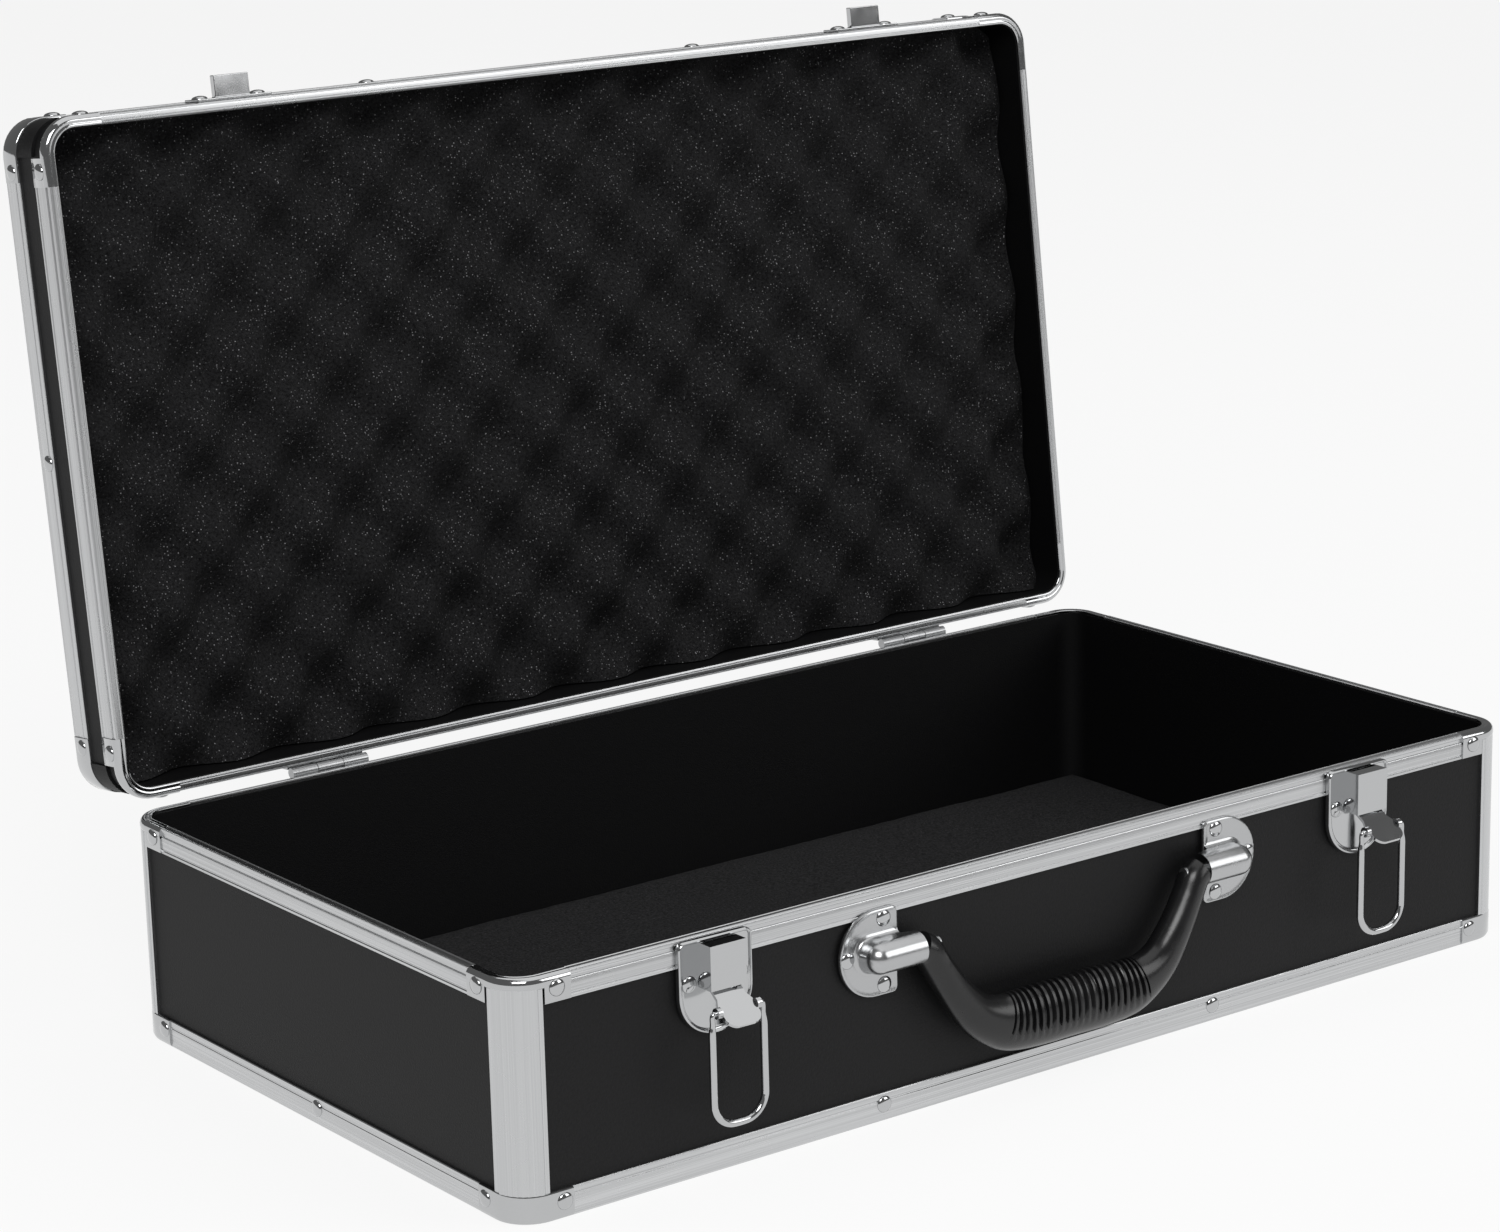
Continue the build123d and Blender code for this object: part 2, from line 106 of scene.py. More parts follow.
def put(tree, kind, links=None, values=None, stops=(), **settings):
    """Adds one node with its settings, its inputs' values, its ramp's stops and its links."""
    made = tree.nodes.new(kind)
    for key, value in settings.items():
        setattr(made, key, value)
    for key, value in (values or {}).items():
        made.inputs[key].default_value = value
    for key, source in (links or {}).items():
        tree.links.new(source, made.inputs[key])
    for number, (place, colour) in enumerate(stops):
        made.color_ramp.elements[number].position = place
        made.color_ramp.elements[number].color = linear(colour)
    return made


def new_material(name, hex_colour, metallic, roughness):
    """A material with its shader set, ready for patterns."""
    material = bpy.data.materials.new(name)
    material.use_nodes = True
    tree = material.node_tree
    shader = tree.nodes["Principled BSDF"]
    shader.inputs["Base Color"].default_value = linear(hex_colour)
    shader.inputs["Metallic"].default_value = metallic
    shader.inputs["Roughness"].default_value = roughness
    return material, tree, shader


def drawn_aluminium(name, turn=(0.0, 0.0, 0.0), dark="b6b7b8", light="cecfd0"):
    """Extruded, satin anodised aluminium: fine die lines that run along the bar."""
    material, tree, shader = new_material(name, "b9babb", 1.0, 0.3)
    # lines 0.4 mm apart, coarser than real ones so that they show, and about 170 mm long
    die_lines = (6.0, 2500.0, 2500.0)
    place = put(tree, "ShaderNodeTexCoord")
    # the turn lays the bar along X
    turned = put(
        tree, "ShaderNodeMapping", {"Vector": place.outputs["Object"]}, {"Rotation": turn},
    )
    stretched = put(
        tree, "ShaderNodeVectorMath", {0: turned.outputs["Vector"]}, {1: die_lines},
        operation="MULTIPLY",
    )
    lines = put(
        tree, "ShaderNodeTexNoise", {"Vector": stretched.outputs["Vector"]},
        {"Scale": 1.0, "Detail": 2.0, "Roughness": 0.5},
    )
    # the anodising's clouds are about 36 mm wide
    clouds = put(
        tree, "ShaderNodeTexNoise", {"Vector": place.outputs["Object"]},
        {"Scale": 28.0, "Detail": 3.0},
    )
    shade = put(
        tree, "ShaderNodeValToRGB", {"Fac": lines.outputs["Fac"]},
        stops=((0.3, dark), (0.7, light)),
    )
    tree.links.new(shade.outputs["Color"], shader.inputs["Base Color"])
    rough = put(
        tree, "ShaderNodeMapRange", {"Value": clouds.outputs["Fac"]},
        {"To Min": 0.25, "To Max": 0.3},
    )
    tree.links.new(rough.outputs["Result"], shader.inputs["Roughness"])
    return material


def plated(name, hex_colour, roughness, spread):
    """Plated steel: smooth, with faint handling marks 11 mm wide that roughen it in places."""
    material, tree, shader = new_material(name, hex_colour, 1.0, roughness)
    place = put(tree, "ShaderNodeTexCoord")
    marks = put(
        tree, "ShaderNodeTexNoise", {"Vector": place.outputs["Object"]},
        {"Scale": 90.0, "Detail": 4.0, "Roughness": 0.55},
    )
    rough = put(
        tree, "ShaderNodeMapRange", {"Value": marks.outputs["Fac"]},
        {"From Min": 0.35, "From Max": 0.75, "To Min": roughness, "To Max": roughness + spread},
    )
    tree.links.new(rough.outputs["Result"], shader.inputs["Roughness"])
    return material


def laminate(name, dark, light, grit):
    """Board faced with black embossed laminate or lining: matt, with a grain under 1 mm."""
    material, tree, shader = new_material(name, dark, 0.0, 0.55)
    place = put(tree, "ShaderNodeTexCoord")
    grain = put(
        tree, "ShaderNodeTexVoronoi", {"Vector": place.outputs["Object"]}, {"Scale": grit},
    )
    clouds = put(
        tree, "ShaderNodeTexNoise", {"Vector": place.outputs["Object"]},
        {"Scale": grit * 0.6, "Detail": 4.0, "Roughness": 0.65},
    )
    shade = put(
        tree, "ShaderNodeValToRGB", {"Fac": clouds.outputs["Fac"]},
        stops=((0.35, dark), (0.7, light)),
    )
    tree.links.new(shade.outputs["Color"], shader.inputs["Base Color"])
    bump = put(
        tree, "ShaderNodeBump", {"Height": grain.outputs["Distance"]},
        {"Strength": 0.3, "Distance": 0.0002},
    )
    tree.links.new(bump.outputs["Normal"], shader.inputs["Normal"])
    shader.inputs["Specular IOR Level"].default_value = 0.22
    return material


def open_cell_foam(name, dark, light, painted_glint_colour, glint_threshold):
    """Polyurethane foam: open cells about 1 mm wide, with painted glints on a few of them."""
    material, tree, shader = new_material(name, dark, 0.0, 0.95)
    place = put(tree, "ShaderNodeTexCoord")
    cells = put(
        tree, "ShaderNodeTexNoise", {"Vector": place.outputs["Object"]},
        {"Scale": 900.0, "Detail": 4.0, "Roughness": 0.75},
    )
    body = put(
        tree, "ShaderNodeValToRGB", {"Fac": cells.outputs["Fac"]},
        stops=((0.35, dark), (0.75, light)),
    )
    # painted glints: a few cells, picked at random by their colour, get a pale painted highlight at
    # their middle, standing in for light caught by the cell walls
    walls = put(
        tree, "ShaderNodeTexVoronoi", {"Vector": place.outputs["Object"]}, {"Scale": 950.0},
    )
    chance = put(tree, "ShaderNodeSeparateColor", {"Color": walls.outputs["Color"]})
    glint_cells = put(
        tree, "ShaderNodeMapRange", {"Value": chance.outputs["Red"]},
        {"From Min": glint_threshold, "From Max": 1.0, "To Min": 0.0, "To Max": 1.0},
    )
    middle = put(
        tree, "ShaderNodeMapRange", {"Value": walls.outputs["Distance"]},
        {"From Min": 0.06, "From Max": 0.3, "To Min": 1.0, "To Max": 0.0},
    )
    painted_glint_mask = put(
        tree, "ShaderNodeMath", {0: glint_cells.outputs["Result"], 1: middle.outputs["Result"]},
        operation="MULTIPLY",
    )
    # the pale painted glint colour is mixed into the foam's colour where the glint mask is strong
    mixed = put(
        tree, "ShaderNodeMix", {0: painted_glint_mask.outputs["Value"], 6: body.outputs["Color"]},
        {7: linear(painted_glint_colour)}, data_type="RGBA",
    )
    tree.links.new(mixed.outputs[2], shader.inputs["Base Color"])
    bump = put(
        tree, "ShaderNodeBump", {"Height": cells.outputs["Fac"]},
        {"Strength": 0.7, "Distance": 0.001},
    )
    tree.links.new(bump.outputs["Normal"], shader.inputs["Normal"])
    shader.inputs["Specular IOR Level"].default_value = 0.15
    return material


def moulded_vinyl(name):
    """Soft moulded vinyl: a low sheen, an orange peel 2 mm wide and wear 17 mm wide, both faint."""
    material, tree, shader = new_material(name, "111112", 0.0, 0.36)
    place = put(tree, "ShaderNodeTexCoord")
    peel = put(
        tree, "ShaderNodeTexNoise", {"Vector": place.outputs["Object"]},
        {"Scale": 500.0, "Detail": 3.0},
    )
    wear = put(
        tree, "ShaderNodeTexNoise", {"Vector": place.outputs["Object"]},
        {"Scale": 60.0, "Detail": 4.0},
    )
    rough = put(
        tree, "ShaderNodeMapRange", {"Value": wear.outputs["Fac"]},
        {"To Min": 0.2, "To Max": 0.34},
    )
    tree.links.new(rough.outputs["Result"], shader.inputs["Roughness"])
    shade = put(
        tree, "ShaderNodeValToRGB", {"Fac": wear.outputs["Fac"]},
        stops=((0.3, "0d0d0e"), (0.75, "161617")),
    )
    tree.links.new(shade.outputs["Color"], shader.inputs["Base Color"])
    bump = put(
        tree, "ShaderNodeBump", {"Height": peel.outputs["Fac"]},
        {"Strength": 0.1, "Distance": 0.0003},
    )
    tree.links.new(bump.outputs["Normal"], shader.inputs["Normal"])
    return material


aluminium_across = drawn_aluminium("anodised_aluminium_across")
aluminium_along = drawn_aluminium("anodised_aluminium_along", (0.0, 0.0, -pi / 2))
# the posts are polished before anodising, so their die lines hardly show
aluminium_upright = drawn_aluminium(
    "polished_aluminium_upright", (0.0, pi / 2, 0.0), "bfc0c1", "c8c9ca",
)
aluminium_leaning = drawn_aluminium("anodised_aluminium_leaning", (lid_lean, 0.0, -pi / 2))
# mirror plating on the latches, keepers, corner pieces and rivets
chrome = plated("chrome_plated_steel", "b9babb", 0.07, 0.05)
# tumbled before plating, so that the handle's brackets show no sharp reflection
satin_chrome = plated("satin_chrome_plated_steel", "b4b5b6", 0.24, 0.04)
# bright zinc on the hinges and pins
zinc = plated("zinc_plated_steel", "a4a5a6", 0.25, 0.15)
# vinyl-faced hardboard, embossed with a fine pebble 0.8 mm wide
black_board = laminate("black_embossed_laminate", "0b0b0c", "151516", 1300.0)
# brushed lining inside the case, which gives back almost no light; its pile is 0.6 mm wide
black_lining = laminate("black_fabric_lining", "050506", "0a0a0b", 1800.0)
# the last two values give the colour of the painted glints on the foam and the threshold that keeps
# them to a few cells
lid_foam_cells = open_cell_foam("charcoal_convoluted_foam", "0a0a0b", "2c2c2d", "b0b0b2", 0.62)
pad_cells = open_cell_foam("charcoal_flat_foam", "151516", "3a3a3b", "606062", 0.8)
vinyl = moulded_vinyl("black_moulded_vinyl")


# Shared mesh tools. A shape is a list of vertices in millimetres and a list of faces

def finish_piece(name, mesh_data, body, material, nodes=(), bevel=0.0):
    """Turns mesh data into a shown piece that rides on a body and may replace CAD nodes."""
    piece = bpy.data.objects.new(name, mesh_data)
    bpy.context.collection.objects.link(piece)
    mesh_data.materials.clear()
    mesh_data.materials.append(material)
    mesh_data.shade_smooth()
    mesh_data.set_sharp_from_angle(angle=sharp_angle)
    if bevel:
        soft = piece.modifiers.new("edges", "BEVEL")
        soft.width = bevel * MM
        soft.segments = 2
        soft.limit_method = "ANGLE"
        soft.angle_limit = sharp_angle
        soft.harden_normals = True
    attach(piece, body)
    if nodes:
        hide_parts(*nodes)
    return piece


def show(name, shape, body, material, nodes=(), matrix=straight, merge=0.0):
    """Makes a shape into a piece in metres, with its faces pointing outwards."""
    vertices, faces = shape
    data = bpy.data.meshes.new(name)
    data.from_pydata([Vector(v) * MM for v in vertices], [], faces)
    mesh = bmesh.new()
    mesh.from_mesh(data)
    if merge:
        bmesh.ops.remove_doubles(mesh, verts=mesh.verts, dist=merge * MM)
    bmesh.ops.recalc_face_normals(mesh, faces=mesh.faces)
    mesh.to_mesh(data)
    mesh.free()
    data.transform(matrix)
    return finish_piece(name, data, body, material, nodes)


def softened(node, body, material, width):
    """A copy of a CAD node with its sharp edges rounded, in place of the node."""
    data = frame["nodes"][node].data.copy()
    mesh = bmesh.new()
    mesh.from_mesh(data)
    bmesh.ops.remove_doubles(mesh, verts=mesh.verts, dist=weld_gap * MM)
    bmesh.ops.dissolve_limit(
        mesh, angle_limit=radians(0.5), verts=mesh.verts, edges=mesh.edges,
    )
    mesh.to_mesh(data)
    mesh.free()
    return finish_piece(f"{node}_finished", data, body, material, (node,), width)


def ringed(rings, closed=True):
    """A shape of bands between rings of equal length; closed rings join end to start."""
    count = len(rings[0])
    vertices = [vertex for ring in rings for vertex in ring]
    faces = []
    for row in range(len(rings) - 1):
        here, above = row * count, (row + 1) * count
        for i in range(count if closed else count - 1):
            j = (i + 1) % count
            faces.append((here + i, here + j, above + j, above + i))
    return vertices, faces


def end_faces(rings):
    """The two flat faces that close the first and the last ring."""
    count = len(rings[0])
    return [tuple(range(count)), tuple((len(rings) - 1) * count + i for i in range(count))]


def capped(rings):
    """A closed shape of bands between rings, with a flat face at each end."""
    vertices, faces = ringed(rings)
    return vertices, faces + end_faces(rings)


def joined(shapes):
    """Several shapes as one."""
    vertices, faces = [], []
    for more, sides in shapes:
        start = len(vertices)
        vertices += more
        faces += [tuple(start + i for i in side) for side in sides]
    return vertices, faces


# Edge extrusions: a profile of (inset, height) points carried round the case's outline

def outline_side(side, leg):
    """Stations along one straight side: each is a place on the edge and its outward normal."""
    if side in ("front", "rear"):
        y = -half_depth if side == "front" else half_depth
        out = Vector((0, y / half_depth, 0))
        return [(Vector((x, y, 0)), out) for x in (leg - half_length, half_length - leg)]
    x = -half_length if side == "left" else half_length
    out = Vector((x / half_length, 0, 0))
    return [(Vector((x, y, 0)), out) for y in (leg - half_depth, half_depth - leg)]


def corner_middle(end_x, end_y):
    """The middle of one corner's round, from the signs of its x and y."""
    return Vector((end_x * (half_length - corner_radius), end_y * (half_depth - corner_radius), 0))


def outline_corner(end_x, end_y, leg, steps=10):
    """Stations round one corner, from a leg along the front or rear to a leg along the side."""
    middle = corner_middle(end_x, end_y)
    along = Vector((end_x * (half_length - leg), end_y * half_depth, 0))
    beside = Vector((end_x * half_length, end_y * (half_depth - leg), 0))
    stations = [(along, Vector((0, end_y, 0)))]
    for step in range(steps + 1):
        turn = pi / 2 * step / steps
        out = Vector((end_x * sin(turn), end_y * cos(turn), 0))
        stations.append((middle + out * corner_radius, out))
    stations.append((beside, Vector((end_x, 0, 0))))
    return stations


def profile_rings(profile, stations):
    """A ring of the profile's points at each station."""
    return [
        [place - out * inset + Vector((0, 0, height)) for inset, height in profile]
        for place, out in stations
    ]


def sweep(profile, stations):
    """A closed shape of a profile carried through stations."""
    return capped(profile_rings(profile, stations))


def stood(points, level, up):
    """A profile of (inset, rise) points set on a level, rising up (1) or hanging down (-1)."""
    return [(inset, level + up * rise) for inset, rise in points]


def rim_profile(mouth, height, up):
    """The mouth extrusion: a rounded lip, a sunk band, a proud sloping band and a lower bead."""
    return stood((
        (lip_depth, 0.3), (lip_depth, trim), (trim, trim), (trim, height),
        (0.0, height), (0.0, height - 0.9), (0.35, height - 1.2), (0.35, height - 1.5),
        (0.1, height - 1.8), (0.0, 4.0), (0.15, 3.7), (0.6, 3.5), (0.65, 2.2), (0.25, 1.9),
        (0.15, 1.1), (0.35, 0.45), (0.9, 0.05), (1.5, 0.0), (lip_depth - 1.5, 0.0),
        (lip_depth - 1.2, 0.3), (lip_depth - 0.9, 0.3), (lip_depth - 0.6, 0.0),
    ), mouth, up)


def angle_profile(edge, height, up):
    """Edge angle: an outer leg with a shallow bend line, and a shelf under or over the board."""
    return stood((
        (angle_shelf, 0.0), (angle_shelf, trim), (trim, trim), (trim, height),
        (0.25, height), (0.0, height - 0.3), (0.0, height * 0.78), (0.22, height * 0.76),
        (0.22, height * 0.72), (0.0, height * 0.70), (0.0, 0.9), (0.25, 0.3), (0.8, 0.0),
    ), edge, up)


def cap_profile(edge, height, up):
    """Pressed cap at a corner of the outer edges: a proud shell with a shelf."""
    return stood((
        (angle_shelf, 0.0), (angle_shelf, trim), (trim, trim), (trim, height), (0.0, height),
        (-cap_proud * 0.7, height - 0.25), (-cap_proud, height - 0.8), (-cap_proud, 2.0),
        (-cap_proud * 0.5, 1.0), (0.1, 0.35), (0.8, 0.05), (1.6, 0.0),
    ), edge, up)


def ridge_profile(mouth, up):
    """The cast corner's round ridge along the mouth, with a bead inside and outside."""
    return stood((
        (lip_depth, 0.3), (lip_depth, trim), (trim, trim), (trim, ridge_height),
        (-0.1, ridge_height), (-0.45, ridge_height - 0.35), (-cap_proud, ridge_height - 1.1),
        (-cap_proud, 2.3), (-0.35, 1.4), (0.1, 0.75), (0.7, 0.25), (1.3, 0.02), (1.9, 0.0),
        (2.3, 0.2), (2.7, 0.2), (3.0, 0.02), (3.6, 0.0), (4.0, 0.1),
    ), mouth, up)


def flange_profile(mouth, height, up):
    """The thin riveted flange of a cast corner, over the rim."""
    return stood((
        (0.3, ridge_height - 1.0), (0.3, height), (-cap_proud * 0.5, height),
        (-cap_proud * 0.85, height - 0.35), (-cap_proud * 0.85, ridge_height - 1.0),
    ), mouth, up)


def edge_set(part, matrix, rim, angle, angle_name, metals):
    """The four rims and four edge angles of the base or the lid."""
    for side, metal in zip(SIDES, metals):
        for profile, leg, name in ((rim, rim_corner_leg, "rim"), (angle, cap_leg, angle_name)):
            node = f"{part}_{side}_{name}"
            shape = sweep(profile, outline_side(side, leg))
            show(f"{node}_extrusion", shape, part, metal, (node,), matrix)


def corner_set(name, part, matrix, pieces, node, material=chrome):
    """All four corners as one piece, each of sweeps: a profile and a way to its stations."""
    shape = joined(
        sweep(profile, stations(end_x, end_y))
        for end_x in (-1, 1) for end_y in (-1, 1) for profile, stations in pieces
    )
    show(name, shape, part, material, (node,), matrix)


def round_leg(leg):
    """The way round a corner, with a leg on both sides of it."""
    return lambda end_x, end_y: outline_corner(end_x, end_y, leg)


def front_strip(near, far):
    """A straight stretch along the front or rear, between two distances from the corner."""
    def stations(end_x, end_y):
        out = Vector((0, end_y, 0))
        edge = end_y * half_depth
        return [(Vector((end_x * (half_length - leg), edge, 0)), out) for leg in (near, far)]
    return stations


def side_strip(near, far):
    """A straight stretch along the left or right side, between two distances from the corner."""
    def stations(end_x, end_y):
        out = Vector((end_x, 0, 0))
        edge = end_x * half_length
        return [(Vector((edge, end_y * (half_depth - leg), 0)), out) for leg in (near, far)]
    return stations


def post_stations(end_x, end_y):
    """The corner post's outside: a low flute, the round middle and another low flute."""
    low_rise, high_rise = 0.05, 0.4
    steps = 24
    step_share = 0.35
    middle = corner_middle(end_x, end_y)
    stations = []
    for step in range(steps + 1):
        turn = pi / 2 * step / steps
        out = Vector((end_x * sin(turn), end_y * cos(turn), 0))
        low = step <= 2 or step >= steps - 2
        stations.append((middle + out * (corner_radius + (low_rise if low else high_rise)), out))
        # a steep wall between a flute and the middle
        if step in (2, steps - 3):
            turn += pi / 2 / steps * step_share
            out = Vector((end_x * sin(turn), end_y * cos(turn), 0))
            rise = high_rise if low else low_rise
            stations.append((middle + out * (corner_radius + rise), out))
    return stations


def cast_corner(mouth, height, up):
    """A cast rim corner: the ridge all round and a flange on each side of the post."""
    flange = flange_profile(mouth, height, up)
    return (
        (ridge_profile(mouth, up), round_leg(rim_corner_leg)),
        (flange, front_strip(flange_start, rim_corner_leg)),
        (flange, side_strip(flange_start, rim_corner_leg)),
    )


def pressed_cap(edge, height, up):
    """A pressed cap all round a corner of the outer edges."""
    return ((cap_profile(edge, height, up), round_leg(cap_leg)),)


def lining(name, part, matrix, low, high):
    """The black lining on the inside of the walls, a closed band round the case."""
    back = lip_depth + lining_thickness
    section = [(lip_depth, low), (lip_depth, high), (back, high), (back, low)]
    stations = []
    for end_x, end_y, flip in ((1, -1, False), (1, 1, True), (-1, 1, False), (-1, -1, True)):
        corner = outline_corner(end_x, end_y, corner_radius + 1.0)
        stations += corner[::-1] if flip else corner
    stations.append(stations[0])
    band = ringed(profile_rings(section, stations))
    show(name, band, part, black_lining, matrix=matrix, merge=weld_gap)


edge_set(
    "base", straight, rim_profile(base_height, base_rim_height, -1),
    angle_profile(0.0, foot_height, 1), "foot_angle",
    (aluminium_across, aluminium_across, aluminium_along, aluminium_along),
)
edge_set(
    "lid", open_lid, rim_profile(lid_bottom, lid_rim_height, 1),
    angle_profile(lid_top, top_angle_height, -1), "top_angle",
    (aluminium_across, aluminium_across, aluminium_leaning, aluminium_leaning),
)
# the posts run on a little under the foot caps and the rim's ridge
post_low = foot_height - 2.0
post_high = base_height - ridge_height + 0.8
post_section = [
    (post_thickness, post_low), (post_thickness, post_high), (0.0, post_high), (0.0, post_low),
]
corner_set(
    "base_cast_corners", "base", straight, cast_corner(base_height, base_rim_height, -1),
    "base_rim_corners",
)
corner_set(
    "lid_cast_corners", "lid", open_lid, cast_corner(lid_bottom, lid_rim_height, 1),
    "lid_rim_corners",
)
corner_set(
    "base_pressed_caps", "base", straight, pressed_cap(0.0, foot_height, 1), "base_foot_caps",
)
corner_set(
    "lid_pressed_caps", "lid", open_lid, pressed_cap(lid_top, top_angle_height, -1),
    "lid_top_caps",
)
corner_set(
    "base_fluted_posts", "base", straight, ((post_section, post_stations),),
    "base_corner_posts", aluminium_upright,
)
lining("base_wall_lining", "base", straight, trim + board, base_height - trim - 0.1)
lining("lid_wall_lining", "lid", open_lid, lid_bottom + trim + 0.1, lid_top - trim - board)


# Rivets, spread by a node tree over a mesh of points

head_radius = 3.3
head_height = 1.3
angle_share = 0.6
edge_rivet_x = 84.0
corner_rivet_in = 20.0
# from each latch's middle, and height
latch_rivet_x, latch_rivet_z = 11.6, 75.0
keeper_rivet_x, keeper_rivet_z = 13.2, lid_bottom + 8.1
# from the case's middle, and height
bracket_rivets = ((84.0, 54.6), (84.0, 80.6), (101.3, handle_axis_height))


def rivet_places(part):
    """Places and facings of the rivets of the base or of the closed lid."""
    if part == "base":
        angle_middle = foot_height * angle_share
        rim_middle = base_height - base_rim_height / 2
        plate_x, plate_z = latch_rivet_x, latch_rivet_z
        extra = [(end * x, z) for end in (-1, 1) for x, z in bracket_rivets]
    else:
        angle_middle = lid_top - top_angle_height * angle_share
        rim_middle = lid_bottom + lid_rim_height / 2
        plate_x, plate_z = keeper_rivet_x, keeper_rivet_z
        extra = []
    spots = []
    # each side's half span, its distance from the middle and the way it faces, in SIDES order
    for span, across, out in (
        (half_length, half_depth, (0, -1, 0)), (half_length, half_depth, (0, 1, 0)),
        (half_depth, half_length, (-1, 0, 0)), (half_depth, half_length, (1, 0, 0)),
    ):
        out = Vector(out)
        run = Vector((abs(out.y), abs(out.x), 0))
        for along in (-edge_rivet_x, edge_rivet_x) if span == half_length else (0.0,):
            spots.append((run * along + out * across + Vector((0, 0, angle_middle)), out))
        for end in (corner_rivet_in - span, span - corner_rivet_in):
            for up in (angle_middle, rim_middle):
                spots.append((run * end + out * (across + cap_proud) + Vector((0, 0, up)), out))
    plates = [
        (middle + shift, plate_z)
        for middle in (-latch_centre, latch_centre) for shift in (-plate_x, plate_x)
    ]
    for x, z in plates + extra:
        spots.append((Vector((x, -half_depth - plate_thickness, z)), Vector((0, -1, 0))))
    return spots


def rivet_tree(material):
    """A node tree that sets a domed head on each point, facing along its stored direction."""
    tree = bpy.data.node_groups.new("rivet_heads", "GeometryNodeTree")
    tree.interface.new_socket("Geometry", in_out="INPUT", socket_type="NodeSocketGeometry")
    for name in ("Head Radius", "Head Height"):
        tree.interface.new_socket(name, in_out="INPUT", socket_type="NodeSocketFloat")
    tree.interface.new_socket("Geometry", in_out="OUTPUT", socket_type="NodeSocketGeometry")
    source = put(tree, "NodeGroupInput")
    ball = put(
        tree, "GeometryNodeMeshUVSphere", values={"Segments": 24, "Rings": 12, "Radius": 1.0},
    )
    place = put(tree, "GeometryNodeInputPosition")
    apart = put(tree, "ShaderNodeSeparateXYZ", {"Vector": place.outputs["Position"]})
    # the ball's lower half is dropped, from just under its middle
    below = put(
        tree, "FunctionNodeCompare", {"A": apart.outputs["Z"]}, {"B": -0.05},
        operation="LESS_THAN", data_type="FLOAT",
    )
    dome = put(
        tree, "GeometryNodeDeleteGeometry",
        {"Geometry": ball.outputs["Mesh"], "Selection": below.outputs["Result"]},
        domain="POINT", mode="ALL",
    )
    radius = source.outputs["Head Radius"]
    size = put(
        tree, "ShaderNodeCombineXYZ",
        {"X": radius, "Y": radius, "Z": source.outputs["Head Height"]},
    )
    facing = put(
        tree, "GeometryNodeInputNamedAttribute", values={"Name": "facing"},
        data_type="FLOAT_VECTOR",
    )
    turn = put(
        tree, "FunctionNodeAlignRotationToVector", {"Vector": facing.outputs["Attribute"]},
        axis="Z",
    )
    spread = put(
        tree, "GeometryNodeInstanceOnPoints",
        {
            "Points": source.outputs["Geometry"], "Instance": dome.outputs["Geometry"],
            "Rotation": turn.outputs["Rotation"], "Scale": size.outputs["Vector"],
        },
    )
    real = put(tree, "GeometryNodeRealizeInstances", {"Geometry": spread.outputs["Instances"]})
    dressed = put(
        tree, "GeometryNodeSetMaterial", {"Geometry": real.outputs["Geometry"]},
        {"Material": material},
    )
    put(tree, "NodeGroupOutput", {"Geometry": dressed.outputs["Geometry"]})
    return tree


def run_tree(name, data, tree, inputs):
    """Runs a node tree on a mesh and gives the result as a plain mesh."""
    holder = bpy.data.objects.new(f"{name}_points", data)
    bpy.context.collection.objects.link(holder)
    step = holder.modifiers.new("tree", "NODES")
    step.node_group = tree
    for item in tree.interface.items_tree:
        if item.in_out == "INPUT" and item.name in inputs:
            step[item.identifier] = inputs[item.name]
    graph = bpy.context.evaluated_depsgraph_get()
    result = bpy.data.meshes.new_from_object(holder.evaluated_get(graph))
    bpy.data.objects.remove(holder)
    return result


def rivets(part, matrix, tree):
    """All the rivet heads of one body."""
    spots = rivet_places(part)
    turned = matrix.to_3x3()
    data = bpy.data.meshes.new(f"{part}_rivet_points")
    data.from_pydata([matrix @ (place * MM) for place, out in spots], [], [])
    facings = data.attributes.new("facing", "FLOAT_VECTOR", "POINT")
    for item, (place, out) in zip(facings.data, spots):
        item.vector = turned @ out
    sizes = {"Head Radius": head_radius * MM, "Head Height": head_height * MM}
    heads = run_tree(part, data, tree, sizes)
    finish_piece(f"{part}_rivet_heads", heads, part, chrome, (f"{part}_rivets",))


heads_tree = rivet_tree(chrome)
rivets("base", straight, heads_tree)
rivets("lid", open_lid, heads_tree)


# Foam

# the pads stand clear of the walls, and just clear of the boards they are glued to
foam_clearance = 1.0
glue_line = 0.05
foam_half_x = half_length - trim - board - foam_clearance
foam_half_y = half_depth - trim - board - foam_clearance
lid_foam_back = lid_top - trim - board - glue_line
floor_foam_back = trim + board + glue_line
crate_pitch = 47.0
crate_shift = 6.0
crate_low = 7.0
crate_high = lid_foam_depth - 0.5


def pad(bottom, surface, step):
    """A closed pad over a grid: a shaped top, straight sides and a flat back."""
    count_x = round(2 * foam_half_x / step)
    count_y = round(2 * foam_half_y / step)
    vertices, faces = [], []
    for j in range(count_y + 1):
        for i in range(count_x + 1):
            x = -foam_half_x + 2 * foam_half_x * i / count_x
            y = -foam_half_y + 2 * foam_half_y * j / count_y
            vertices.append((x, y, surface(x, y)))
    row = count_x + 1
    for j in range(count_y):
        for i in range(count_x):
            a = j * row + i
            faces.append((a, a + 1, a + row + 1, a + row))
    border = list(range(row))
    border += [j * row + count_x for j in range(1, count_y + 1)]
    border += [count_y * row + i for i in range(count_x - 1, -1, -1)]
    border += [j * row for j in range(count_y - 1, 0, -1)]
    start = len(vertices)
    vertices += [(vertices[i][0], vertices[i][1], bottom) for i in border]
    around = len(border)
    for k in range(around):
        n = (k + 1) % around
        faces.append((border[k], border[n], start + n, start + k))
    faces.append(tuple(start + k for k in range(around)))
    return vertices, faces


def uneven(x, y, level, fineness, height):
    """Smooth chance unevenness of a place; each level is another pattern."""
    return noise.noise(Vector((x, y, level)) * fineness) * height


